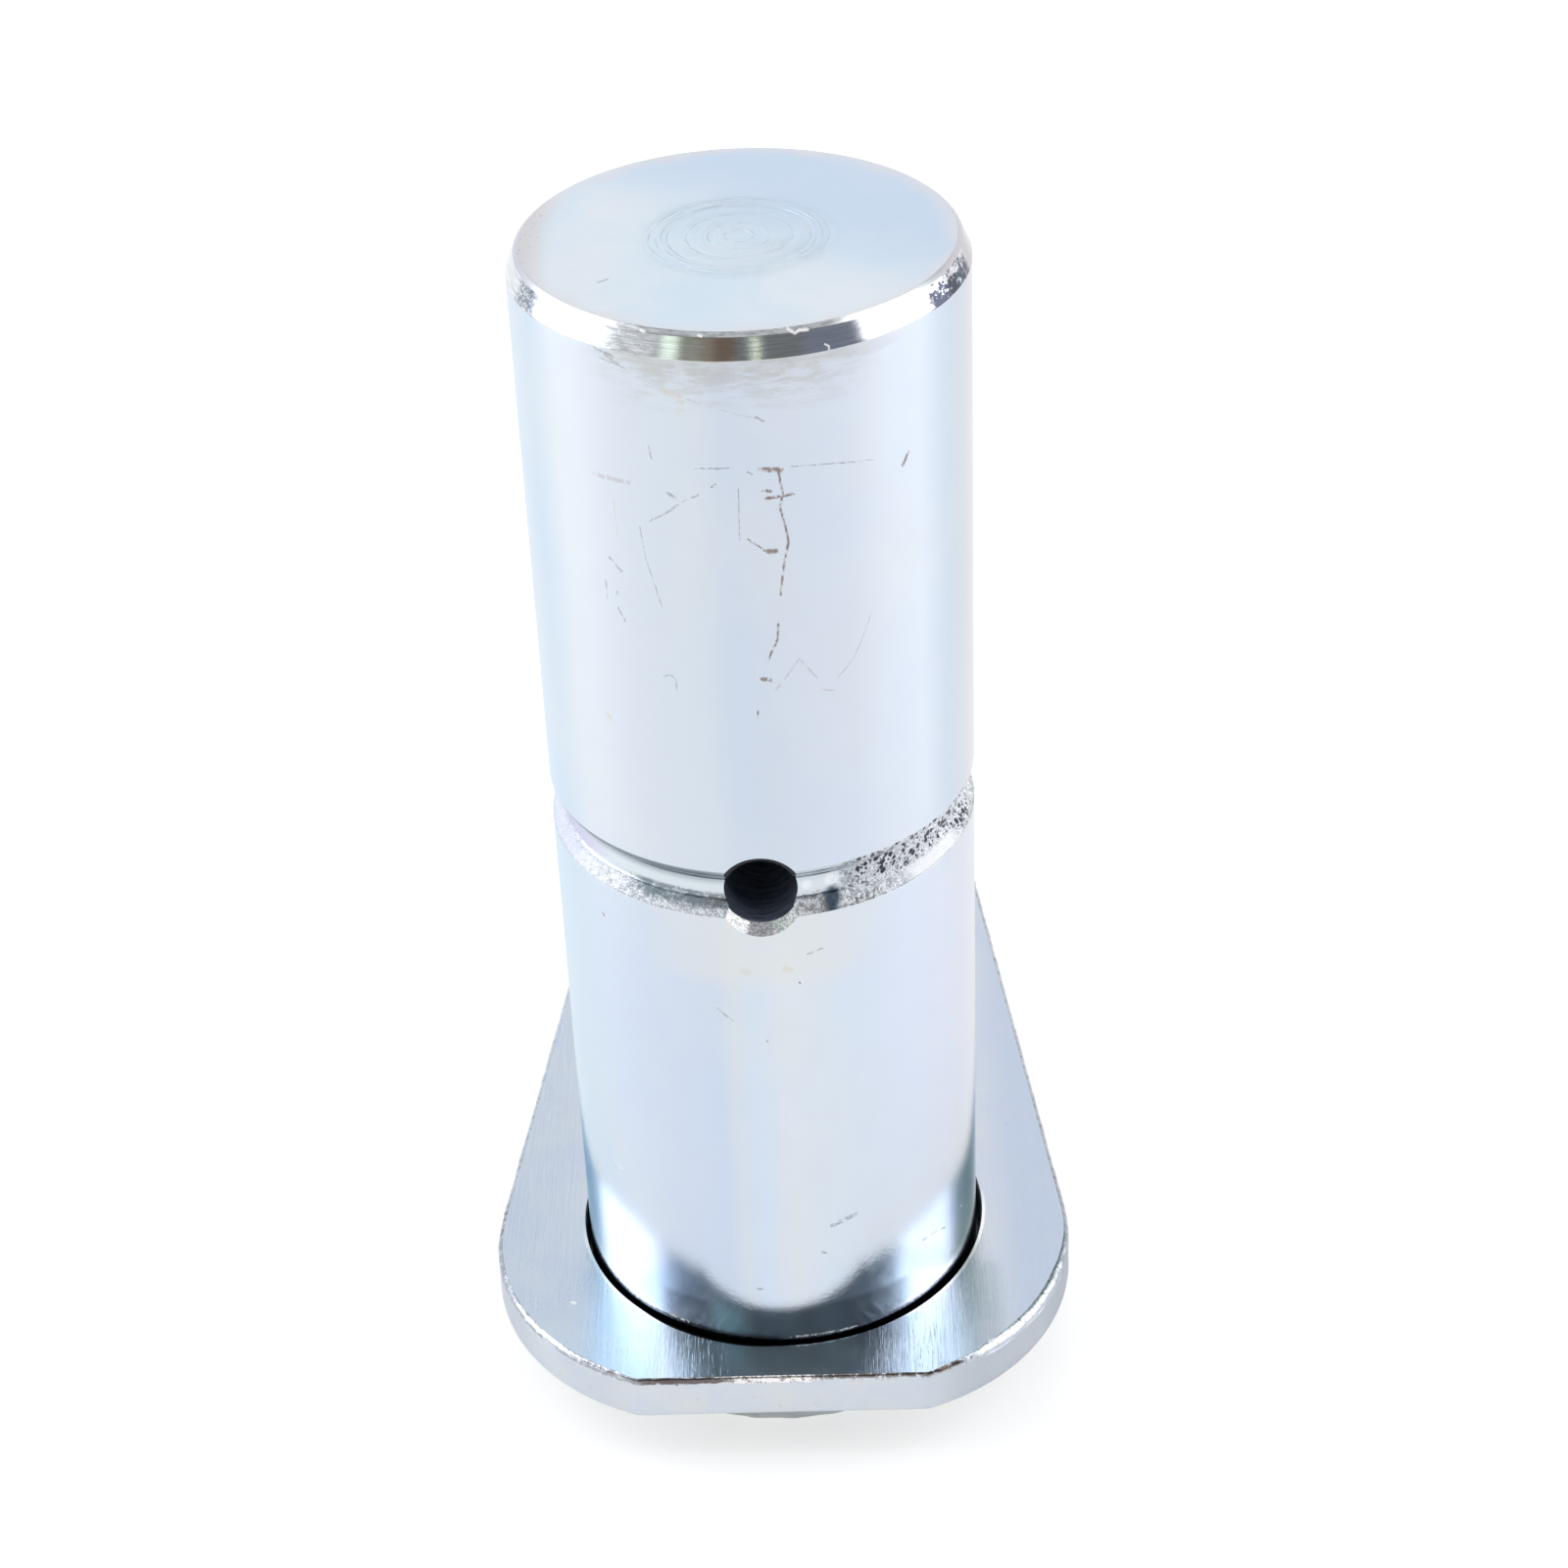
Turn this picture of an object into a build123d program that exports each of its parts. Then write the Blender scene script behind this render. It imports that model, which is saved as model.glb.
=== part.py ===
from build123d import *

import math
import os

# Flag-head pivot pin: a turned and cross-drilled bar welded into a keeper plate.
# Sizes are in millimetres. The origin is on the pin's axis in the plate's seat face,
# +Z runs along the pin to its tip, and the plate's tail reaches towards +Y.

# Pin bar, turned to one diameter over its whole length
pin_radius = 19.05
pin_length = 114.3
head_projection = 5.54  # how far the bar stands out behind the plate
tip_chamfer_radial = 1.15
tip_chamfer_axial = 1.95
head_chamfer = 0.5

# Grease groove turned round the bar, with a flat floor and sloping flanks
groove_height = 51.4  # from the seat face to the middle of the groove
groove_depth = 1.2
groove_floor_width = 2.0
groove_flank_angle = 45.0  # between a flank and the pin's axis
groove_floor_fillet = 0.4

# Grease passages: a port in the head end, a gallery up the axis and a cross hole into the groove
port_radius = 4.37  # tapping size of the pipe thread, which is not cut here
port_depth = 11.0
port_sink_radius = 5.4
gallery_radius = 3.97
gallery_overrun = 4.5  # how far the gallery runs past the cross hole's centre line
cross_hole_radius = 3.175
cross_hole_sink_radius = 4.1
sink_angle = 90.0
drill_point_angle = 118.0

# Flag plate: a wide rounded front cut off by a flat, tapering to a round tail
plate_thickness = 4.7625
corner_radius = 22.225
corner_half_spacing = 5.8
corner_forward = 3.0  # how far the two corner centres lie in front of the pin's axis
front_flat_distance = 23.8
flat_end_round = 1.5
tail_radius = 19.05
tail_spacing = 76.2  # from the pin's axis to the retaining bolt
plate_edge_round = 0.5

# Holes in the plate
pin_hole_clearance = 0.45
pin_hole_shift = 0.12  # the hole sits this far off the pin's axis, as the two were welded
bolt_radius = 6.35
bolt_clearance = 0.4

# Fillet weld round the back of the plate
weld_plate_leg = 4.2
weld_pin_leg = 5.0
weld_bulge = 0.6  # how far the weld's face rises above a straight one

# How far a cutting shape runs past the face it opens
cut_past = 1.0

pin_tip = pin_length - head_projection - plate_thickness
plate_back = -plate_thickness
pin_head_end = plate_back - head_projection
groove_floor_radius = pin_radius - groove_depth
groove_flank_run = groove_depth / math.tan(math.radians(groove_flank_angle))
bolt_hole_radius = bolt_radius + bolt_clearance


def pin_profile():
    """Half section of the bar, with its radius along X and its axis along Y."""
    floor_low = groove_height - groove_floor_width / 2
    floor_high = groove_height + groove_floor_width / 2
    section = make_face(
        Polyline(
            (0, pin_head_end),
            (pin_radius - head_chamfer, pin_head_end),
            (pin_radius, pin_head_end + head_chamfer),
            (pin_radius, floor_low - groove_flank_run),
            (groove_floor_radius, floor_low),
            (groove_floor_radius, floor_high),
            (pin_radius, floor_high + groove_flank_run),
            (pin_radius, pin_tip - tip_chamfer_axial),
            (pin_radius - tip_chamfer_radial, pin_tip),
            (0, pin_tip),
            close=True,
        )
    )
    floor_corners = [corner for corner in section.vertices() if math.isclose(corner.X, groove_floor_radius)]
    return fillet(floor_corners, groove_floor_fillet)


def drilled_hole(mouth, radius, depth, sink_radius):
    """Blind hole along the mouth plane's -Z, with a countersunk mouth and a drill's pointed end."""
    sink_depth = (sink_radius - radius) / math.tan(math.radians(sink_angle / 2))
    point_depth = radius / math.tan(math.radians(drill_point_angle / 2))
    outer_radius = sink_radius + cut_past * math.tan(math.radians(sink_angle / 2))
    section = make_face(
        Polyline(
            (0, cut_past),
            (outer_radius, cut_past),
            (radius, -sink_depth),
            (radius, -depth),
            (0, -depth - point_depth),
            close=True,
        )
    )
    cutter = revolve(Plane.XZ * section, Axis.Z)
    return mouth.location * cutter


def make_pin():
    head_mouth = Plane((0, 0, pin_head_end), x_dir=(1, 0, 0), z_dir=(0, 0, -1))
    front_mouth = Plane((0, -pin_radius, groove_height), x_dir=(1, 0, 0), z_dir=(0, -1, 0))
    gallery_depth = groove_height + gallery_overrun - pin_head_end
    port = drilled_hole(head_mouth, port_radius, port_depth, port_sink_radius)
    gallery = drilled_hole(head_mouth, gallery_radius, gallery_depth, port_radius)
    cross_hole = drilled_hole(front_mouth, cross_hole_radius, pin_radius, cross_hole_sink_radius)
    bar = revolve(Plane.XZ * pin_profile(), Axis.Z)
    return bar - gallery - port - cross_hole


def plate_outline():
    """Front flat, two wide corner rounds and a round tail, joined by sides tangent to the rounds."""
    centre_run = tail_spacing + corner_forward
    centre_distance = math.hypot(corner_half_spacing, centre_run)
    taper = math.atan2(corner_half_spacing, centre_run)
    taper += math.asin((corner_radius - tail_radius) / centre_distance)
    flat_below_centre = front_flat_distance - corner_forward
    flat_half_width = corner_half_spacing + math.sqrt(corner_radius**2 - flat_below_centre**2)
    flat_angle = -math.asin(flat_below_centre / corner_radius)
    middle_angle = (flat_angle + taper) / 2
    corner_middle = (
        corner_half_spacing + corner_radius * math.cos(middle_angle),
        -corner_forward + corner_radius * math.sin(middle_angle),
    )
    corner_touch = (
        corner_half_spacing + corner_radius * math.cos(taper),
        -corner_forward + corner_radius * math.sin(taper),
    )
    tail_touch = (tail_radius * math.cos(taper), tail_spacing + tail_radius * math.sin(taper))
    flat_end = (flat_half_width, -front_flat_distance)
    right_side = Curve() + [
        Line((0, -front_flat_distance), flat_end),
        ThreePointArc(flat_end, corner_middle, corner_touch),
        Line(corner_touch, tail_touch),
        CenterArc((0, tail_spacing), tail_radius, math.degrees(taper), 90 - math.degrees(taper)),
    ]
    outline = make_face(right_side + mirror(right_side, Plane.YZ))
    front_corners = outline.vertices().group_by(Axis.Y)[0]
    flat_ends = [corner for corner in front_corners if abs(corner.X) > corner_half_spacing]
    return fillet(flat_ends, flat_end_round)


def make_flag_plate():
    plate = extrude(plate_outline(), amount=-plate_thickness)
    rims = plate.faces().filter_by(Axis.Z).edges()
    plate = fillet(rims, plate_edge_round)
    pin_hole = Pos(pin_hole_shift, 0) * Circle(pin_radius + pin_hole_clearance)
    bolt_hole = Pos(0, tail_spacing) * Circle(bolt_hole_radius)
    return plate - extrude(pin_hole + bolt_hole, amount=plate_thickness, both=True)


def make_weld_bead():
    root = (pin_radius, plate_back)
    plate_toe = (pin_radius + weld_plate_leg, plate_back)
    pin_toe = (pin_radius, plate_back - weld_pin_leg)
    face_length = math.hypot(weld_plate_leg, weld_pin_leg)
    crown = (
        pin_radius + weld_plate_leg / 2 + weld_bulge * weld_pin_leg / face_length,
        plate_back - weld_pin_leg / 2 - weld_bulge * weld_plate_leg / face_length,
    )
    section = make_face([Line(root, plate_toe), ThreePointArc(plate_toe, crown, pin_toe), Line(pin_toe, root)])
    return revolve(Plane.XZ * section, Axis.Z)


parts = {
    "pin": make_pin(),
    "flag_plate": make_flag_plate(),
    "weld_bead": make_weld_bead(),
}

os.makedirs("parts", exist_ok=True)
for name, part in parts.items():
    part.label = name
    export_step(part, f"parts/{name}.step")
    print(name, round(part.volume, 1), "cubic millimetres")
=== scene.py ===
import math

import bmesh
import bpy
from mathutils import Matrix, Vector, noise


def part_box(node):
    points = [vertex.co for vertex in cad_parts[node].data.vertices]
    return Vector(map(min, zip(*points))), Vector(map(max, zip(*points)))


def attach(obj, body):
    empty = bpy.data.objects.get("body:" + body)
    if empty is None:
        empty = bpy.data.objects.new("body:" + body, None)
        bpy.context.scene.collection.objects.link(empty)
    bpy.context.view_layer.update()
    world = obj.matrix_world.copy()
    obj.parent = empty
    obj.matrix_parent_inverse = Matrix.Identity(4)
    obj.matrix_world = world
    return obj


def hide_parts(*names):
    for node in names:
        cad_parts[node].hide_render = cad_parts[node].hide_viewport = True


# Looks of the pivot pin: bright zinc over turned bar, sawn and ground plate, and a rippled weld.
# Lengths are in millimetres here and go into the meshes in metres.
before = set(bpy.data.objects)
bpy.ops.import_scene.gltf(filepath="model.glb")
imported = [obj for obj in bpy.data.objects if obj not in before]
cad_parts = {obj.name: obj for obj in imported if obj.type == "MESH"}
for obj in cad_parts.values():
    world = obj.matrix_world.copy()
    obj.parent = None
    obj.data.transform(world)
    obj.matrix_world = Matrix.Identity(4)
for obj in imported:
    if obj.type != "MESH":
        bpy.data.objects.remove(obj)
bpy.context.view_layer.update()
mm = 0.001
cutPast = 1.0  # how far a drill's shape stands out past the face that it opens
nearAxis = 0.05  # a turned shape starts and ends this far from its axis
print("frame loaded:", ", ".join(sorted(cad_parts)))


class Value:
    # a socket that can be used in sums
    def __init__(self, nodes, socket):
        self.nodes = nodes
        self.socket = socket

    def math(self, operation, *others, clamp=False):
        settings = {"operation": operation, "use_clamp": clamp}
        return self.nodes.add("ShaderNodeMath", settings, dict(enumerate((self,) + others)))

    def __add__(self, other):
        return self.math("ADD", other)

    __radd__ = __add__

    def __sub__(self, other):
        return self.math("SUBTRACT", other)

    def __rsub__(self, other):
        return self.nodes.add("ShaderNodeMath", {"operation": "SUBTRACT"}, {0: other, 1: self})

    def __mul__(self, other):
        return self.math("MULTIPLY", other)

    __rmul__ = __mul__


class NodeSet:
    # one node tree, with short ways to add to it
    def __init__(self, tree):
        self.tree = tree
        tree.nodes.clear()

    def add(self, nodeType, settings=None, values=None, output=0):
        node = self.tree.nodes.new(nodeType)
        for name, setting in (settings or {}).items():
            if name == "stops":
                self.setStops(node.color_ramp, setting)
            else:
                setattr(node, name, setting)
        for key, value in (values or {}).items():
            socket = node.inputs[key] if isinstance(key, int) else self.find(node.inputs, key)
            if isinstance(value, Value):
                self.tree.links.new(value.socket, socket)
            else:
                socket.default_value = value
        if not node.outputs:
            return None
        found = node.outputs[output] if isinstance(output, int) else self.find(node.outputs, output)
        return Value(self, found)

    @staticmethod
    def find(sockets, name):
        return next(s for s in sockets if name in (s.identifier, s.name))

    @staticmethod
    def setStops(ramp, stops):
        for place, colour in stops[:-2]:
            ramp.elements.new(place)
        for element, (place, colour) in zip(ramp.elements, stops):
            element.position = place
            element.color = (*colour, 1.0)

    def other(self, value, output):
        return Value(self, self.find(value.socket.node.outputs, output))

    def mix(self, share, first, second):
        first, second = [c if isinstance(c, Value) else (*c, 1.0) for c in (first, second)]
        values = {"Factor_Float": share, "A_Color": first, "B_Color": second}
        return self.add("ShaderNodeMix", {"data_type": "RGBA"}, values, "Result_Color")

    def vector(self, operation, *parts, output=0):
        return self.add("ShaderNodeVectorMath", {"operation": operation}, dict(enumerate(parts)), output)

    def scaled(self, place, factors):
        return self.vector("MULTIPLY", place, factors)

    def smooth(self, value, low, high):
        values = {"Value": value, "From Min": low, "From Max": high}
        return self.add("ShaderNodeMapRange", {"interpolation_type": "SMOOTHSTEP"}, values)

    def window(self, value, low, high, soft):
        # 1 between low and high, fading over soft at both ends
        rise = self.smooth(value, low - soft / 2, low + soft / 2)
        return rise * (1 - self.smooth(value, high - soft / 2, high + soft / 2))

    def ramp(self, share, stops):
        return self.add("ShaderNodeValToRGB", {"stops": stops}, {"Fac": share})


class Finish(NodeSet):
    # a material, with this object's own coordinates ready to use
    def __init__(self, name):
        self.material = bpy.data.materials.new(name)
        self.material.use_nodes = True
        super().__init__(self.material.node_tree)
        place = self.add("ShaderNodeTexCoord", output="Object")
        self.place = self.add("ShaderNodeVectorMath", {"operation": "SCALE"}, {0: place, "Scale": 1 / mm})
        parts = self.add("ShaderNodeSeparateXYZ", values={0: self.place})
        self.x, self.y, self.z = parts, self.other(parts, "Y"), self.other(parts, "Z")

    def turned(self):
        # azimuth in degrees, 0 at the front, and the way round the bar in millimetres
        self.azimuth = self.x.math("ARCTAN2", self.y * -1) * math.degrees(1)
        self.around = self.azimuth * (math.radians(1) * pinSizes["radius"])
        self.unrolled = self.add("ShaderNodeCombineXYZ", values={"X": self.around, "Y": self.z})

    def fromAxis(self, x=0.0, y=0.0):
        # millimetres from the upright line through x and y
        off = self.vector("SUBTRACT", self.place, (x, y, 0))
        return self.vector("LENGTH", self.scaled(off, (1, 1, 0)), output="Value")

    def grain(self, size, detail=2.0, roughness=0.5, distortion=0.0, stretch=None, place=None):
        # soft noise from 0 to 1 with features about size millimetres wide, narrower by the factors in stretch
        place = place or self.place
        if stretch:
            place = self.scaled(place, stretch)
        values = {"Vector": place, "Scale": 1.0 / size, "Detail": detail, "Roughness": roughness}
        values["Distortion"] = distortion
        return self.add("ShaderNodeTexNoise", {"noise_dimensions": "3D"}, values)

    def holes(self, spacing, size, ragged):
        # 1 in scattered round pits, about one for each spacing millimetres
        values = {"Vector": self.place, "Scale": 1.0 / spacing}
        distance = self.add("ShaderNodeTexVoronoi", {"feature": "F1"}, values, "Distance")
        cell = self.add("ShaderNodeSeparateColor", values={0: self.other(distance, "Color")})
        reach = cell * size + 0.13
        return self.smooth(distance + ragged * 0.2 - 0.1 - reach, 0.06, -0.03)

    def frayed(self, jitter, across, along):
        # the unrolled wall's places, pushed about by a noise
        push = self.scaled(self.other(jitter, "Color"), (across, along, 0))
        pushed = self.vector("ADD", self.unrolled, push)
        return self.vector("SUBTRACT", pushed, (across / 2, along / 2, 0))

    def rings(self, radius, closeness):
        # fine rings from a facing cut
        onRadius = self.add("ShaderNodeCombineXYZ", values={"X": radius, "Y": self.azimuth * 0.004})
        return self.grain(1.0, 3, 0.8, stretch=(closeness, 1, 1), place=onRadius)

    def sector(self, low, high, soft):
        # 1 between two azimuths in degrees
        return self.window(self.azimuth, low, high, soft)

    def paint(self, mask, tone):
        # lays a tone over the colour so far, where the mask is above 0
        self.colour = self.mix(mask, self.colour, tone)

    def finish(self, roughness, height=None, depth=0.0, metallic=1.0, glint=None):
        values = {"Base Color": self.colour, "Roughness": roughness, "Metallic": metallic}
        if glint is not None:
            values["Emission Color"] = glint
            values["Emission Strength"] = 1.0
        if height is not None:
            bump = self.add("ShaderNodeBump", values={"Height": height, "Distance": depth * mm})
            values["Normal"] = bump
        shader = self.add("ShaderNodeBsdfPrincipled", values=values)
        self.add("ShaderNodeOutputMaterial", values={"Surface": shader})
        return self.material


def fade(value, start, end):
    # from 0 at start to 1 at end
    return max(0.0, min(1.0, (value - start) / (end - start)))


def makeObject(name, points, faces, finishes, faceFinishes):
    # finishes are materials by name, and faceFinishes has one of the names for each face
    mesh = bpy.data.meshes.new(name)
    mesh.from_pydata([Vector(p) * mm for p in points], [], faces)
    for material in finishes.values():
        mesh.materials.append(material)
    order = list(finishes)
    mesh.polygons.foreach_set("material_index", [order.index(finish) for finish in faceFinishes])
    mesh.polygons.foreach_set("use_smooth", [True] * len(faces))
    obj = bpy.data.objects.new(name, mesh)
    bpy.context.scene.collection.objects.link(obj)
    return obj


def ringFaces(rings, count):
    # quads between neighbouring rings of points, and a flat face at each end
    faces = []
    for band in range(rings - 1):
        upper, lower = band * count, (band + 1) * count
        for step in range(count):
            ahead = (step + 1) % count
            faces.append((upper + step, lower + step, lower + ahead, upper + ahead))
    last = (rings - 1) * count
    return faces + [tuple(range(count)), tuple(last + step for step in reversed(range(count)))]


def lathe(name, rows, turns, finishes, shape=None):
    # rows are (radius, height, finish of the band below)
    points = []
    for radius, height, _ in rows:
        for step in range(turns):
            angle = 2 * math.pi * step / turns
            r, z = shape(radius, height, angle) if shape else (radius, height)
            points.append((r * math.sin(angle), -r * math.cos(angle), z))
    faceFinishes = [row[2] for row in rows[:-1] for step in range(turns)]
    faceFinishes += [rows[0][2], rows[-1][2]]
    return makeObject(name, points, ringFaces(len(rows), turns), finishes, faceFinishes)


def cutAway(obj, cutter):
    bore = obj.modifiers.new("bore", "BOOLEAN")
    bore.operation = "DIFFERENCE"
    bore.solver = "EXACT"
    bore.object = cutter
    graph = bpy.context.evaluated_depsgraph_get()
    cut = bpy.data.meshes.new_from_object(obj.evaluated_get(graph))
    obj.modifiers.clear()
    obj.data = cut
    bpy.data.objects.remove(cutter)


def creaseSharpEdges(obj, degrees):
    # smooth faces, with a hard line where two of them meet at more than this angle
    work = bmesh.new()
    work.from_mesh(obj.data)
    for edge in work.edges:
        meet = len(edge.link_faces) == 2
        edge.smooth = meet and edge.calc_face_angle(0) < math.radians(degrees)
    for face in work.faces:
        face.smooth = True
    work.to_mesh(obj.data)
    work.free()


def wobble(x, y, z, size, seed=0.0):
    # smooth noise from about -1 to 1
    return noise.noise(Vector((x / size + seed, y / size - seed, z / size)))


pinLow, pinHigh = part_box("pin")
pinSizes = {
    "radius": pinHigh.x / mm,
    "tip": pinHigh.z / mm,
    "head": pinLow.z / mm,
    "tipChamferRadial": 1.15,
    "tipChamferAxial": 1.95,
    "facetRadial": 0.39,  # a narrow facet along the rim of the tip
    "facetAxial": 0.31,
    "headChamfer": 0.5,
    "grooveHeight": 51.4,
    "grooveDepth": 1.2,
    "grooveFloor": 2.0,
    "holeRadius": 3.175,
    "sinkRadius": 4.1,
    "galleryRadius": 3.97,
    "galleryTop": 55.9,
    "portRadius": 4.37,
    "portDepth": 11.0,
    "portSink": 5.4,
    "rounds": {"tip": 0.1, "facet": 0.12, "foot": 0.25, "upperLip": 0.85, "floor": 0.4, "lowerLip": 0.1},
    "facingRings": (4.4, 5.95, 7.4),  # left by the facing tool, on the tip
    "ringDepth": 0.035,
    "ringWidth": 0.22,
    "flankRoughness": 0.07,  # how far the groove's torn flank wanders
    "tornReach": (49, 53.9),  # heights between which the groove's shape is rough
    "tornFade": (50.9, 50.3),
    "pitDepth": 0.16,
    "pittedStart": (20, 28),  # degrees round the bar
    "pittedEnd": (80, 70),
    "markedSide": 80,  # degrees to either side of the front that have marks
    "scuffedFrom": 60,
    "streakedTo": 49.5,
    # the mesh has rows at these radii on the tip, and down the wall from these heights, closer by the groove
    "turns": 480,
    "drillTurns": 96,
    "rowsInsideRings": (0.4, 1.2, 2.4, 3.4),
    "rowsOutsideRings": (9.5, 12, 14.5, 16.5, 17.3),
    "wallTop": 100.5,
    "closeHigh": 58,
    "closeLow": 46,
    "footTop": 6,
    "farRows": 2.5,
    "closeRows": 0.6,
    "footRows": 1.5,
    "floorRows": 0.2,
    "crease": 28,  # a hard line shows where faces meet at more than this angle
}


def wallTintAndReflectionBands(f):
    # the blue passivation is cooler or creamier round the bar, and the bright and dark bands that the wall
    # reflects are painted in as soft uprights by azimuth
    share = (f.azimuth + 180) * (1 / 360)
    upper = f.ramp(share, [
        (0.00, (0.66, 0.72, 0.80)), (0.25, (0.50, 0.69, 0.90)), (0.33, (0.58, 0.70, 0.83)),
        (0.36, (0.71, 0.76, 0.82)), (0.47, (0.68, 0.74, 0.81)), (0.49, (0.63, 0.70, 0.82)),
        (0.515, (0.65, 0.71, 0.80)), (0.56, (0.68, 0.74, 0.85)), (0.635, (0.72, 0.78, 0.87)),
        (0.66, (0.62, 0.69, 0.79)), (0.71, (0.62, 0.65, 0.70)), (1.00, (0.66, 0.72, 0.80)),
    ])
    lower = f.ramp(share, [
        (0.00, (0.66, 0.72, 0.80)), (0.27, (0.47, 0.69, 0.85)), (0.33, (0.62, 0.73, 0.82)),
        (0.37, (0.65, 0.73, 0.85)), (0.463, (0.62, 0.70, 0.84)), (0.475, (0.69, 0.75, 0.82)),
        (0.49, (0.68, 0.77, 0.90)), (0.515, (0.74, 0.79, 0.86)), (0.54, (0.71, 0.79, 0.90)),
        (0.62, (0.71, 0.77, 0.89)), (0.70, (0.70, 0.72, 0.80)), (1.00, (0.66, 0.72, 0.80)),
    ])
    tint = f.mix(f.smooth(f.z, 46, 56), lower, upper)
    cloud = f.grain(13, 3, 0.45, 0.4, stretch=(1, 1, 0.55))
    tint = f.mix(f.smooth(cloud, 0.42, 0.72) * 0.4, tint, (0.74, 0.77, 0.76))
    haze = f.grain(4.5, 4, 0.6)
    return f.mix(f.smooth(haze, 0.3, 0.75) * 0.14, tint, (0.60, 0.66, 0.78))


def turningLines(f):
    # fine lines round the bar from the lathe
    coarse = f.grain(1.0, 3, 0.7, stretch=(0.02, 0.02, 3.2))
    fine = f.grain(1.0, 2, 0.6, stretch=(0.05, 0.05, 14))
    return coarse * 0.6 + fine * 0.4


def strokes(f, place, marks):
    # 1 on the marks' lines, 0 beside them
    nearest = None
    for width, *ends in marks:
        for start, end in zip(ends, ends[1:]):
            run = Vector((end[0] - start[0], end[1] - start[1] + 1e-3, 0.0))  # never of no length
            slope = run / run.length_squared
            start = Vector((*start, 0.0))
            share = f.vector("DOT_PRODUCT", place, tuple(slope), output="Value")
            share = share.math("SUBTRACT", start.dot(slope), clamp=True)
            foot = f.vector("MULTIPLY_ADD", tuple(run), share, tuple(start))
            gap = f.vector("DISTANCE", place, foot, output="Value") * (2 / width)
            nearest = gap if nearest is None else nearest.math("MINIMUM", gap)
    return 1 - f.smooth(nearest, 0.35, 1.15)


# a mark is its width, then its points: (millimetres round the bar, height), or x and y on a flat face
upperMarks = {
    "rust": [
        (0.55, (1.6, 92.6), (3.2, 92.4)),
        (0.26, (3.0, 92.4), (3.3, 90.2), (3.0, 89.1), (3.4, 87.3), (3.6, 85.9), (3.1, 83.6), (2.8, 81.1)),
        (0.4, (1.7, 90.7), (2.3, 90.6)), (0.38, (1.9, 90.0), (4.1, 90.1)), (0.6, (2.0, 85.2), (2.5, 85.2)),
        (0.2, (0.4, 86.4), (1.7, 85.3)), (0.24, (2.5, 78.4), (2.4, 77.0), (1.5, 75.0)),
        (0.5, (1.0, 73.3), (1.6, 73.2)), (0.2, (0.5, 70.2), (0.5, 69.6)), (0.4, (14.1, 90.0), (14.7, 90.9)),
        (0.2, (0.6, 92.4), (0.9, 92.2)), (0.2, (-2.3, 91.1), (-1.9, 91.4)),
    ],
    "grey": [
        (0.2, (-3.3, 90.4), (-4.8, 89.6), (-5.8, 88.7), (-7.6, 87.5)), (0.3, (-5.9, 90.3), (-5.3, 89.9)),
        (0.16, (-3.6, 92.7), (-0.9, 92.8)), (0.13, (4.0, 92.6), (7.5, 92.2), (11.3, 91.5)),
        (0.12, (-0.2, 90.9), (-0.3, 86.4)), (0.3, (-11.7, 83.1), (-10.6, 82.2)),
        (0.2, (-12.3, 80.9), (-12.3, 79.2)), (0.22, (-11.2, 80.1), (-11.2, 79.5)),
        (0.26, (-11.2, 78.6), (-10.6, 77.5)), (0.12, (-8.6, 87.1), (-8.2, 84.0), (-7.0, 79.6)),
        (0.16, (-7.3, 94.3), (-7.1, 93.1)), (0.18, (-7.3, 73.0), (-6.6, 73.3), (-6.2, 72.9), (-6.2, 71.9)),
        (0.16, (-11.8, 101.9), (-10.4, 101.4), (-8.9, 100.7)),
        (0.16, (-11.2, 101.1), (-10.1, 101.0), (-9.0, 100.7)), (0.3, (-11.1, 101.75), (-10.0, 101.55)),
        (0.2, (1.4, 97.2), (2.0, 96.8)),
    ],
    "ochre": [
        (0.22, (-10.9, 88.5), (-10.7, 85.4)), (0.7, (-5.8, 99.3), (-4.4, 98.9), (-4.4, 97.4)),
        (0.8, (-13.2, 67.4), (-13.0, 67.2)),
    ],
    "blush": [
        (0.13, (-4.5, 99.0), (-2.4, 98.25), (-0.5, 97.7), (1.5, 97.0)),
        (0.2, (2.1, 72.2), (3.4, 73.9), (4.1, 75.0), (4.8, 73.9), (5.6, 72.8)),
        (0.22, (5.9, 71.6), (7.0, 71.3)), (0.16, (7.4, 72.5), (8.7, 73.7), (9.9, 76.0), (10.9, 78.3)),
        (0.5, (-12.7, 90.5), (-9.3, 90.6)),
    ],
}
lowerMarks = {
    "rust": [
        (0.25, (-16.0, 45.7), (-15.8, 45.5)), (0.2, (3.0, 42.1), (3.1, 42.0)),
        (0.2, (-0.1, 36.0), (0.0, 35.8)),
    ],
    "grey": [
        (0.18, (3.8, 45.0), (5.2, 45.4)), (0.14, (-4.3, 39.3), (-2.9, 38.0)),
        (0.6, (5.2, 13.7), (6.4, 14.0), (7.4, 14.3)), (0.3, (15.0, 7.2), (15.7, 7.2)),
        (0.3, (16.3, 7.1), (17.0, 7.0)), (0.26, (17.8, 6.7), (18.4, 6.4)), (0.26, (4.1, 10.7), (4.5, 10.5)),
        (0.36, (-2.0, 6.6), (-1.7, 6.6)),
    ],
    "ochre": [
        (0.9, (-1.8, 43.6), (-1.4, 43.4)), (0.8, (1.9, 43.7), (2.3, 43.5)),
    ],
    # white specks; the two strokes lowest down, just above the plate, are a painted highlight
    "paleSpecksAndHighlight": [
        (0.3, (-17.4, 16.4), (-16.2, 16.0)), (0.3, (-24.5, 11.3), (-24.3, 10.9)),
        (0.3, (21.4, 6.9), (21.8, 6.5)), (0.28, (0.9, 0.6), (3.0, 0.56), (5.0, 0.52), (7.2, 0.5)),
        (0.36, (-11.7, 0.9), (-10.6, 0.8), (-9.2, 0.8)),
    ],
}
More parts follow.
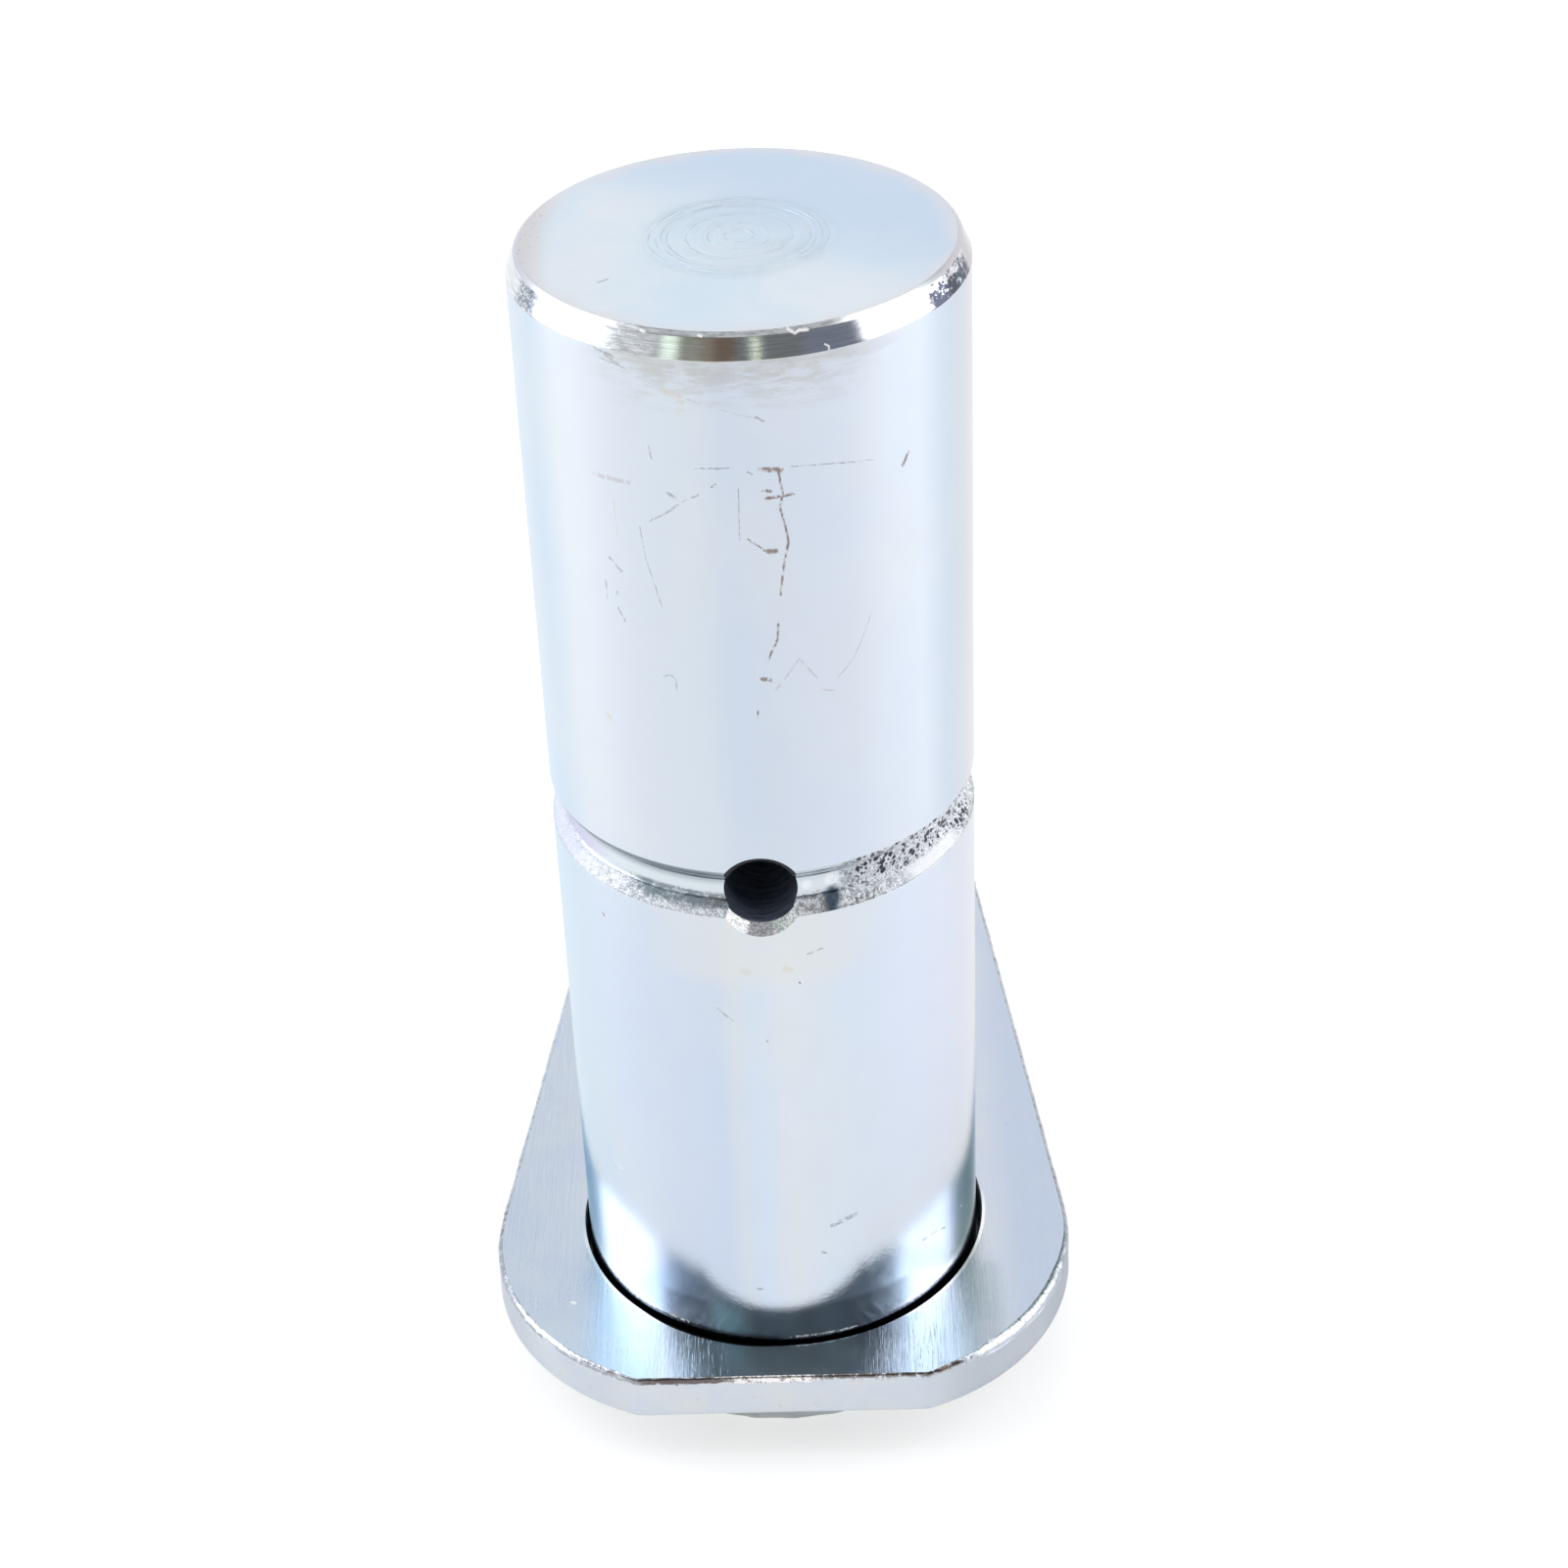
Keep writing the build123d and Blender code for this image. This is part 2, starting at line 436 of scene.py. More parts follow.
faintRings = (1.3, 2.6, 6.4, 6.85)  # facing marks on the tip too shallow for its shape
faceMarks = [(0.3, (-10.9, -8.3), (-10.2, -7.8))]
plateMarks = [(0.5, (-20.1, -13.0), (-19.9, -13.1))]
chamferMarks = [
    (0.26, (4.4, 103.9), (4.9, 103.6), (5.3, 103.75), (6.0, 103.7)),
    (0.2, (7.2, 102.5), (7.5, 102.3), (7.4, 102.0)), (0.2, (-7.8, 103.8), (-7.4, 103.7)),
    (0.2, (-2.9, 103.8), (-2.6, 103.75)),
]
oilMarks = [(1.9, (6.6, 50.15), (6.2, 49.6))]
paintedHighlightMarks = [(1.5, (6.5, 51.6), (6.55, 51.6)), (1.2, (4.2, 51.5), (4.25, 51.5))]
markColours = {
    "rust": (0.25, 0.17, 0.13),
    "grey": (0.27, 0.28, 0.31),
    "ochre": (0.66, 0.55, 0.36),
    "blush": (0.52, 0.45, 0.47),
    "paleSpecksAndHighlight": (0.93, 0.95, 0.97),
}
markStrengths = {"rust": 0.85, "grey": 0.6, "ochre": 0.28, "blush": 0.55, "paleSpecksAndHighlight": 1.0}


def wallFinish(name, marks=None):
    f = Finish(name)
    f.turned()
    f.colour = wallTintAndReflectionBands(f)
    smear = f.grain(1.3, 5, 0.72, stretch=(0.35, 0.35, 1.6))
    stain = f.smooth(f.z + smear * 4, 99.0, 103.6) * f.sector(-30, 28, 26)
    f.paint(stain * (0.1 + f.smooth(smear, 0.43, 0.57) * 0.4), (0.46, 0.44, 0.40))
    band = f.smooth(f.z + smear * 1.6, 101.3, 102.2) * f.sector(-36, 40, 14)
    f.paint(band * 0.22, (0.52, 0.48, 0.43))
    cream = f.window(f.z - f.around * f.around * 0.008, 42, 50, 3) * f.window(f.around, -9, 9, 8)
    f.paint(cream * 0.45, (0.78, 0.78, 0.74))
    frost = f.grain(0.38, 4, 0.7)
    reflectionMottle = f.smooth(f.grain(3.5, 3, 0.6), 0.42, 0.6)
    near = f.window(f.z, -0.6, 4.2, 0.8)
    # painted reflection: dark patches low on the foot, to either side of the front
    paintedFootReflection = (f.sector(7, 39, 6) + f.sector(-35, -20, 5)) * near
    f.paint(paintedFootReflection * (0.22 + frost * 0.24), (0.04, 0.05, 0.06))
    # painted dark reflection at the front of the foot just above the plate, mottled
    footFrontReflection = f.sector(-8, 8, 8) * near
    f.paint(footFrontReflection * (0.3 + reflectionMottle * 0.15), (0.07, 0.07, 0.08))
    # painted reflection: a lighter teal patch low on the foot, left of the front
    tealReflection = f.sector(-19, -11, 7) * f.window(f.z, 0.6, 3.8, 1.8)
    f.paint(tealReflection * 0.5, (0.50, 0.90, 1.0))
    # painted shade: the pin is dark where it runs down into the gap in the plate, reaching higher at the left
    # front
    gapShadeRise = f.sector(-40, -2, 22) * 0.24
    gapShade = f.smooth(f.z + frost * 0.1 - gapShadeRise, 0.35, 0.2) * f.smooth(f.z, -5.2, -4.6)
    f.paint(gapShade * 0.96, (0.02, 0.03, 0.03))
    rough = 0.10 + f.smooth(f.z, 5, 20) * 0.08 + f.grain(6, 3, 0.5) * 0.06
    lines = turningLines(f)
    metallic = 1 - tealReflection * 0.1
    if marks:
        jitter = f.grain(0.35, 2, 0.6)
        ragged = f.frayed(jitter, 0.16, 0.3)
        broken = f.smooth(f.grain(0.55, 3, 0.7, stretch=(1, 1, 0.8)), 0.36, 0.56)
        for tone, group in marks.items():
            mask = strokes(f, ragged, group) * broken * markStrengths[tone]
            f.paint(mask, markColours[tone])
            if tone in ("rust", "grey"):
                rough = rough + mask * 0.3
            if tone == "paleSpecksAndHighlight":
                metallic = metallic - mask * 0.9
    return f.finish(rough, lines * 0.3 + frost, 0.012, metallic)


def tipFaceFinish():
    f = Finish("tipFaceZinc")
    f.turned()
    radius = f.fromAxis(0.1, -0.25)  # the face was turned a little off centre
    cloud = f.grain(9, 4, 0.55, 0.5)
    f.colour = f.mix(f.smooth(cloud, 0.3, 0.7), (0.69, 0.80, 0.90), (0.78, 0.83, 0.89))
    bluer = f.smooth(f.x + f.y * 1.2, -6, 16)
    f.paint(bluer * 0.75, (0.57, 0.69, 0.86))
    edge = f.smooth(radius + f.grain(3, 3) * 3, 17.4, 19.6)
    f.paint(edge * 0.6, (0.80, 0.76, 0.78))
    f.paint(f.smooth(f.x, -14.5, -17.5) * 0.7, (0.68, 0.64, 0.64))
    speck = f.smooth(f.grain(0.5, 3, 0.7), 0.60, 0.68) * edge * f.smooth(f.x, -15, -17)
    f.paint(speck, (0.25, 0.18, 0.14))
    # rings left by the facing tool, broken up round the face
    turnedPlace = f.add("ShaderNodeCombineXYZ", values={"X": radius * 3, "Y": f.azimuth * 0.035})
    gaps = f.grain(1.0, 3, 0.6, place=turnedPlace)
    lines = None
    for ring in (*faintRings, *pinSizes["facingRings"]):
        groove = f.smooth((radius - ring + gaps * 0.12).math("ABSOLUTE"), 0.13, 0.04)
        lines = groove if lines is None else lines.math("MAXIMUM", groove)
    lines = lines * f.smooth(gaps, 0.42, 0.6)
    leftward = 0.45 + f.smooth(f.x - f.y * 0.5, 6, -6) * 0.55
    f.paint(lines * leftward * 0.42, (0.34, 0.40, 0.48))
    rings = f.rings(radius, 7)
    near = f.window(radius, 0.3, 8.2, 1.6)
    f.paint(f.smooth(rings, 0.5, 0.7) * near * 0.2, (0.52, 0.60, 0.68))
    dash = strokes(f, f.scaled(f.place, (1, 1, 0)), faceMarks)
    f.paint(dash * 0.5, markColours["grey"])
    rough = 0.34 + f.grain(1.2, 4, 0.7) * 0.12
    return f.finish(rough, rings * (near + 0.1) + lines * 0.7, 0.05)


def tipChamferFinish():
    f = Finish("tipChamferZinc")
    f.turned()
    streak = f.grain(1.0, 4, 0.75, stretch=(0.22, 0.22, 7))
    fleck = f.grain(0.8, 4, 0.8, stretch=(0.6, 0.6, 4))
    f.colour = f.mix(f.smooth(streak, 0.35, 0.65), (0.84, 0.86, 0.88), (0.56, 0.58, 0.60))
    frayed = f.azimuth + f.grain(1.0, 3, 0.7, stretch=(0.5, 0.5, 4)) * 7 - 3.5
    # painted reflections: olive, brown and slate tones by azimuth, for the dark things in front that the
    # chamfer mirrors
    oliveReflection = f.window(frayed, -14, 17, 5)
    f.paint(oliveReflection * 0.5, (0.48, 0.48, 0.38))
    brown = f.window(frayed, -8, 0, 2)
    f.paint(brown * 0.6, (0.48, 0.39, 0.34))
    slateReflection = f.window(frayed, 16, 31, 4)
    f.paint(slateReflection * 0.5, (0.62, 0.66, 0.78))
    scrape = f.window(frayed, -34, -19, 5) * f.smooth(fleck, 0.46, 0.56)
    f.paint(scrape * 0.6, (0.40, 0.42, 0.44))
    mottle = f.grain(0.26, 4, 0.8)
    leftPatch = f.window(frayed, -69, -58, 5) * f.smooth(mottle, 0.42, 0.54)
    f.paint(leftPatch * 0.8, (0.10, 0.14, 0.19))
    shard = f.grain(0.9, 4, 0.7, stretch=(1, 1, 1.6))
    lowDown = f.smooth(f.z, 103.7, 102.6)
    shard = shard + lowDown * 0.12
    rubbed = f.window(frayed, 54, 79, 3)
    f.paint(rubbed * f.smooth(shard, 0.46, 0.54) * 0.6, (0.42, 0.43, 0.48))
    f.paint(rubbed * f.smooth(shard, 0.55, 0.59) * 0.95, (0.045, 0.055, 0.09))
    f.paint(f.sector(79, 100, 6), (0.50, 0.47, 0.50))
    # the narrow facet along the tip's rim, painted nearly white at the sides and grey at the front, standing
    # in for what it reflects
    facetTop = pinSizes["tip"] - pinSizes["facetAxial"]
    facet = f.smooth(f.z, facetTop - 0.05, facetTop + 0.03)
    facetFrontReflection = f.window(frayed, -33, 27, 8) * facet
    aside = f.smooth(f.azimuth.math("ABSOLUTE"), 50, 66)
    f.paint(facet, f.mix(aside, (0.92, 0.93, 0.95), (0.62, 0.60, 0.65)))
    f.paint(facetFrontReflection, f.mix(f.smooth(fleck, 0.4, 0.6), (0.50, 0.52, 0.54), (0.30, 0.31, 0.32)))
    nicks = strokes(f, f.unrolled, chamferMarks)
    f.paint(nicks, (1.0, 1.0, 1.0))
    metallic = 1 - nicks * 0.8 - scrape * 0.35
    rough = 0.06 + streak * 0.07 + facet * 0.2 + nicks * 0.4
    return f.finish(rough, streak * 0.6 + fleck * 0.4, 0.008, metallic)


def grooveFinish():
    f = Finish("grooveZinc")
    f.turned()
    radius = f.fromAxis()
    ragged = f.grain(0.5, 4, 0.72)
    glitter = f.grain(0.17, 3, 0.8)
    lower = f.sector(-110, -45, 24) * 0.35
    flank = f.smooth(f.z + ragged * 0.7 + lower, 50.95, 50.6) * f.smooth(radius, 17.8, 18.0)
    f.colour = f.mix(f.sector(-110, -53, 18), (0.70, 0.76, 0.80), (0.60, 0.60, 0.74))
    # shade under the upper lip
    left = f.sector(-60, -5, 24)
    right = f.sector(6, 26, 6)
    shade = f.smooth(f.z, 51.5, 52.9) * f.smooth(f.z, 54.1, 53.75) * (left * 0.85 + right * 0.25)
    f.paint(shade, (0.10, 0.14, 0.18))
    # the torn lower flank
    # painted highlight: a strip of the lower flank at the right is kept clean and white
    paintedGlintStrip = f.sector(43, 67, 7) * f.smooth(f.z, 50.2, 49.9)
    calm = 1 - f.sector(-110, -47, 22) * 0.5 - paintedGlintStrip * 0.95
    tears = f.smooth(glitter * 0.5 + ragged * 0.5, 0.45, 0.54) * calm
    f.paint(flank, f.mix(tears, (0.95, 0.97, 1.0), (0.46, 0.50, 0.54)))
    farSide = f.sector(-110, -60, 10) * flank
    f.paint(farSide * 0.6, (0.62, 0.66, 0.76))
    # painted shade along the groove's lower inner corner, left of the front, mottled
    crease = f.window(f.z + ragged * 0.6, 50.0, 51.15, 0.4) * f.window(f.azimuth + ragged * 14, -30, 2, 6)
    grit = f.smooth(f.grain(0.8, 4, 0.7), 0.36, 0.54)
    f.paint(crease * (0.38 + grit * 0.5), (0.18, 0.23, 0.26))
    brown = f.window(f.around, -5.5, -3.2, 1.2) * f.window(f.z, 49.8, 50.9, 0.5)
    f.paint(brown * f.smooth(glitter, 0.5, 0.6) * 0.7, (0.25, 0.17, 0.13))
    # the corroded right side
    pitted = f.smooth(f.azimuth + ragged * 14, 28, 35) * f.smooth(f.azimuth, 88, 80)
    spread = f.smooth(f.azimuth, 50, 72) * 0.7
    above = f.smooth(f.z + ragged * 0.5 + spread, 50.0, 50.7)
    ground = f.mix(f.smooth(glitter, 0.46, 0.60), (0.95, 0.96, 1.0), (0.42, 0.45, 0.52))
    f.paint(pitted * above * 0.9 * (1 - paintedGlintStrip), ground)
    pits = f.holes(0.66, 0.33, ragged) + f.holes(0.38, 0.24, ragged)
    pits = pits.math("MINIMUM", 1.0) * pitted * above * (1 - paintedGlintStrip)
    f.paint(pits * 0.95, (0.02, 0.025, 0.04))
    specks = f.smooth(f.grain(0.5, 3, 0.7), 0.5, 0.58) * f.window(f.z, 48.9, 49.7, 0.3)
    specks = specks * f.sector(23, 36, 6)
    f.paint(specks * 0.85, (0.20, 0.16, 0.15))
    spots = strokes(f, f.frayed(ragged, 0.5, 0.5), oilMarks)
    f.paint(spots * 0.95, (0.04, 0.07, 0.10))
    # painted highlights: two pale spots on the groove
    glow = strokes(f, f.unrolled, paintedHighlightMarks)
    f.paint(glow * 0.45, (0.98, 0.99, 1.0))
    nearHole = f.window(f.around, 3.2, 5.8, 0.8) * f.smooth(f.z, 50.8, 50.2)
    f.paint(nearHole * tears * 0.8, (0.30, 0.28, 0.28))
    torn = flank.math("MAXIMUM", pitted)
    metallic = 1 - torn * 0.25 + spots * 0.25
    height = (glitter * 0.7 + ragged) * (torn + 0.04) - pits
    rough = 0.2 + torn * 0.16 - spots * 0.15
    return f.finish(rough, height, 0.14, metallic)


def sinkFinish():
    # the cross hole's countersink: a painted highlight at the left, which also glows of its own, chattered
    # below and at the right
    f = Finish("sinkZinc")
    below = (f.z - pinSizes["grooveHeight"]) * -1
    way = f.x.math("ARCTAN2", below) * math.degrees(1)
    grit = f.grain(0.22, 4, 0.75)
    chips = f.smooth(grit, 0.42, 0.58)
    f.colour = f.mix(chips, (0.94, 1.0, 0.97), (0.44, 0.49, 0.48))
    low = f.window(way + grit * 14, -14, 22, 4)
    f.paint(low, f.mix(chips, (0.80, 0.78, 0.80), (0.36, 0.36, 0.39)))
    # painted highlight at the left of the cone
    paintedHighlight = f.window(way + grit * 10, -75, -14, 6)
    f.paint(paintedHighlight, f.mix(chips * 0.8, (1.0, 1.0, 1.0), (0.30, 0.33, 0.36)))
    # painted shade on the upper part of the cone, under the wall
    overhangShade = f.smooth(way.math("ABSOLUTE"), 95, 120)
    f.paint(overhangShade, (0.09, 0.095, 0.11))
    # the painted highlight glows of its own
    glint = f.mix(paintedHighlight * (1 - chips * 0.5), (0.0, 0.0, 0.0), (0.65, 0.65, 0.66))
    return f.finish(0.32, grit, 0.06, 0.3 - paintedHighlight * 0.25, glint)


def boreFinish():
    f = Finish("boreSteel")
    rings = f.grain(1.0, 4, 0.7, stretch=(0.3, 5, 0.3))
    f.colour = f.mix(f.smooth(rings, 0.35, 0.65), (0.04, 0.05, 0.075), (0.20, 0.23, 0.31))
    return f.finish(0.5 - rings * 0.15, rings, 0.05, 0.0)


def headFinish():
    # the sawn and faced head end, straw-coloured towards the weld
    f = Finish("headZinc")
    f.turned()
    radius = f.fromAxis()
    cloud = f.grain(6, 4, 0.55, 0.3)
    f.colour = f.mix(f.smooth(cloud, 0.3, 0.7), (0.58, 0.63, 0.72), (0.66, 0.68, 0.70))
    straw = f.smooth(radius + cloud * 3, 17.5, 20.5)
    f.paint(straw * 0.4, (0.56, 0.49, 0.40))
    rings = f.rings(radius, 4)
    f.paint(f.smooth(rings, 0.5, 0.7) * 0.3, (0.42, 0.45, 0.50))
    return f.finish(0.28 + cloud * 0.12, rings, 0.03)


def makePinFinishes():
    return {
        "face": tipFaceFinish(),
        "chamfer": tipChamferFinish(),
        "wall": wallFinish("wallZinc"),
        "scuffed": wallFinish("scuffedWallZinc", upperMarks),
        "streaked": wallFinish("streakedWallZinc", lowerMarks),
        "groove": grooveFinish(),
        "bore": boreFinish(),
        "sink": sinkFinish(),
        "end": headFinish(),
    }


def heights(start, end, step):
    count = max(1, round(abs(end - start) / step))
    return [start + (end - start) * i / count for i in range(count)]


def filletPoints(corner, before, after, radius, steps=3):
    # an arc that rounds a corner of the profile
    toBefore, toAfter = (before - corner).normalized(), (after - corner).normalized()
    half = toBefore.angle(toAfter) / 2
    reach = radius / math.tan(half)
    centre = corner + (toBefore + toAfter).normalized() * (radius / math.sin(half))
    first, last = corner + toBefore * reach - centre, corner + toAfter * reach - centre
    return [centre + first.lerp(last, i / steps).normalized() * radius for i in range(steps + 1)]


def along(points, finish):
    return [(p.x, p.y, finish) for p in points]


def between(start, end, shares, finish):
    return along([start.lerp(end, share) for share in shares], finish)


def upright(radius, finish, start, end, step):
    return [(radius, z, finish) for z in heights(start, end, step)]


def pinRows(s):
    # (radius, height, finish) from the middle of the tip to the middle of the head
    radius, tip, head, rounds = s["radius"], s["tip"], s["head"], s["rounds"]
    rows = [(r, tip, "face") for r in s["rowsInsideRings"]]
    for ring in s["facingRings"]:
        for side, share in ((-1, 0), (-0.5, 0.7), (0, 1), (0.5, 0.7), (1, 0)):
            rows.append((ring + side * s["ringWidth"], tip - s["ringDepth"] * share, "face"))
    rows += [(r, tip, "face") for r in s["rowsOutsideRings"]]
    top = Vector((radius - s["tipChamferRadial"], tip))
    facet = top + Vector((s["facetRadial"], -s["facetAxial"]))
    foot = Vector((radius, tip - s["tipChamferAxial"]))
    rows += along(filletPoints(top, Vector((0, tip)), facet, rounds["tip"]), "chamfer")
    rows += along(filletPoints(facet, top, foot, rounds["facet"]), "chamfer")
    rows += between(facet, foot, (0.25, 0.5, 0.75), "chamfer")
    bend = filletPoints(foot, facet, Vector((radius, 0)), rounds["foot"])
    rows += along(bend[:-1], "chamfer") + along(bend[-1:], "wall")
    # the groove, whose upper lip is worn round
    floorHigh = s["grooveHeight"] + s["grooveFloor"] / 2
    floorLow = s["grooveHeight"] - s["grooveFloor"] / 2
    lipHigh, lipLow = floorHigh + s["grooveDepth"], floorLow - s["grooveDepth"]
    upperLip, lowerLip = [Vector((radius, z)) for z in (lipHigh, lipLow)]
    high, low = [Vector((radius - s["grooveDepth"], z)) for z in (floorHigh, floorLow)]
    rows += upright(radius, "wall", s["wallTop"], s["closeHigh"], s["farRows"])
    rows += upright(radius, "wall", s["closeHigh"], lipHigh + 0.5, s["closeRows"])
    rows += along(filletPoints(upperLip, Vector((radius, tip)), high, rounds["upperLip"], steps=7), "groove")
    rows += between(upperLip, high, (0.3, 0.5, 0.7), "groove")
    rows += along(filletPoints(high, upperLip, low, rounds["floor"], steps=4), "groove")
    rows += upright(high.x, "groove", floorHigh - 0.35, floorLow + 0.35, s["floorRows"])
    rows += along(filletPoints(low, high, lowerLip, rounds["floor"], steps=4), "groove")
    rows += between(low, lowerLip, (0.26, 0.38, 0.5, 0.62, 0.74, 0.86), "groove")
    bend = filletPoints(lowerLip, low, Vector((radius, 0)), rounds["lowerLip"])
    rows += along(bend[:-1], "groove") + along(bend[-1:], "wall")
    rows += upright(radius, "wall", lipLow - 0.35, s["closeLow"], s["closeRows"])
    rows += upright(radius, "wall", s["closeLow"], s["footTop"], s["farRows"])
    rows += upright(radius, "wall", s["footTop"], head + 1.2, s["footRows"])
    chamfer = s["headChamfer"]
    rows += [(radius, head + chamfer, "end"), (radius - chamfer, head, "end")]
    return rows + [(r, head, "end") for r in (8, 0.5)]


def tornGroove(radius, height, angle):
    # the cutter tore the groove's lower flank, and the right of it is pitted
    s = pinSizes
    x, y = math.sin(angle) * radius, -math.cos(angle) * radius
    bottom, top = s["tornReach"]
    if s["radius"] - radius < 0.02 or not bottom < height < top:
        return radius, height
    rough = 0.5 + 0.5 * wobble(x, y, height, 0.9, 3.1)
    fine = 0.5 + 0.5 * wobble(x, y, height, 0.35, 8.4)
    bite = fade(height, *s["tornFade"]) * s["flankRoughness"] * (rough + fine)
    degrees = math.degrees(math.atan2(x, -y))
    pitted = fade(degrees, *s["pittedStart"]) * fade(degrees, *s["pittedEnd"])
    pit = max(0.0, wobble(x, y, height, 0.45, 5.7) - 0.15)
    return radius - bite - pitted * pit * s["pitDepth"], height


def crossRows(s):
    # the countersunk cross hole, from above its mouth to the drill's point
    radius, sink, depth = s["holeRadius"], s["sinkRadius"], s["radius"]
    sinkFoot = radius - sink
    return [
        (nearAxis, cutPast, "sink"),
        (sink + cutPast, cutPast, "sink"),
        (sink, 0.0, "sink"),
        (radius + 0.05, sinkFoot + 0.03, "bore"),
        (radius, sinkFoot - 0.06, "bore"),
        (radius, -depth, "bore"),
        (nearAxis, -depth - radius * 0.6, "bore"),
    ]


def galleryRows(s):
    # the gallery up the axis, from the drill's point down to the port's mouth
    gallery, port, head = s["galleryRadius"], s["portRadius"], s["head"]
    return [
        (nearAxis, s["galleryTop"] + 2.4, "bore"),
        (gallery, s["galleryTop"], "bore"),
        (gallery, head + s["portDepth"], "bore"),
        (port, head + s["portDepth"] - 0.3, "bore"),
        (port, head + s["portSink"] - port, "end"),
        (s["portSink"] + cutPast, head - cutPast, "end"),
        (nearAxis, head - cutPast, "end"),
    ]


def makePin(s):
    finishes = makePinFinishes()
    order = list(finishes)
    pin = lathe("turnedPin", pinRows(s), s["turns"], finishes, tornGroove)
    for face in pin.data.polygons:
        middle = face.center / mm
        front = abs(math.degrees(math.atan2(middle.x, -middle.y))) < s["markedSide"]
        if front and order[face.material_index] == "wall":
            if middle.z > s["scuffedFrom"]:
                face.material_index = order.index("scuffed")
            elif 0 < middle.z < s["streakedTo"]:
                face.material_index = order.index("streaked")
    cross = lathe("crossDrill", crossRows(s), s["drillTurns"], finishes)
    mouth = Matrix.Translation((0, -s["radius"] * mm, s["grooveHeight"] * mm))
    cross.data.transform(mouth @ Matrix.Rotation(math.radians(90), 4, "X"))
    gallery = lathe("galleryDrill", galleryRows(s), s["drillTurns"], finishes)
    cutAway(pin, gallery)
    cutAway(pin, cross)
    creaseSharpEdges(pin, s["crease"])
    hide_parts("pin")
    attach(pin, "root")
    print("pin made:", len(pin.data.polygons), "faces")


plateSizes = {
    "thickness": 4.7625,
    "cornerRadius": 22.225,
    "cornerSpacing": 5.8,
    "cornerForward": 3.0,
    "flat": 23.8,
    "flatEndRound": 1.5,
    "tailRadius": 19.05,
    "tail": 76.2,
    "edgeRound": 0.5,
    "pinHole": 19.46,
    "pinHoleShift": 0.06,
    "boltHole": 6.75,
    "holeEase": 0.15,  # the broken edges of both holes
    "step": 0.45,  # spacing of the outline's points
    "rowStep": 0.5,
    "rimSteps": 8,
    "backSteps": 5,
    "drillTurns": 240,
    "crease": 28,
    "burr": 0.16,  # how far the sheared top edge is torn back
    "burrFade": (-0.9, -0.4),
    "wornRound": 1.7,  # how many times wider the rim's round is at the right front
    "wornStart": (38, 46),  # degrees round the pin
    "wornEnd": (82, 68),
    "flatRound": 0.55,  # and how much narrower along the flat
    "flatFade": (-22.8, -23.6),
    "inset": 0.006,  # keeps the wall just inside the measured outline
}


def plateOutline(s):
    # points and outward directions, anticlockwise from the middle of the front flat
    run = s["tail"] + s["cornerForward"]
    taper = math.atan2(s["cornerSpacing"], run)
    taper += math.asin((s["cornerRadius"] - s["tailRadius"]) / math.hypot(s["cornerSpacing"], run))
    points = []

    def line(start, end):
        way = Vector(end) - Vector(start)
        out = Vector((way.y, -way.x)).normalized()
        count = max(2, round(way.length / s["step"]))
        points.extend((Vector(start) + way * i / count, out) for i in range(count))

    def arc(centre, radius, start, end):
        count = max(2, round(abs(end - start) * radius / s["step"]))
        for i in range(count):
            angle = start + (end - start) * i / count
            out = Vector((math.cos(angle), math.sin(angle)))
            points.append((Vector(centre) + out * radius, out))

    # a small arc eases the flat into the corner round
    small, big = s["flatEndRound"], s["cornerRadius"]
    easeY = -s["flat"] + small
    easeX = s["cornerSpacing"] + math.sqrt((big - small) ** 2 - (easeY + s["cornerForward"]) ** 2)
    easeAngle = math.atan2(easeY + s["cornerForward"], easeX - s["cornerSpacing"])
    corner = (s["cornerSpacing"], -s["cornerForward"])
    touch = Vector(corner) + Vector((math.cos(taper), math.sin(taper))) * big
    tailTouch = Vector((math.cos(taper), math.sin(taper))) * s["tailRadius"] + Vector((0, s["tail"]))
    line((0, -s["flat"]), (easeX, -s["flat"]))
    arc((easeX, easeY), small, -math.pi / 2, easeAngle)
    arc(corner, big, easeAngle, taper)
    line(touch, tailTouch)
    arc((0, s["tail"]), s["tailRadius"], taper, math.pi / 2)
    mirrored = [(Vector((-p.x, p.y)), Vector((-o.x, o.y))) for p, o in reversed(points[1:])]
    return points + [(Vector((0, s["tail"] + s["tailRadius"])), Vector((0, 1)))] + mirrored


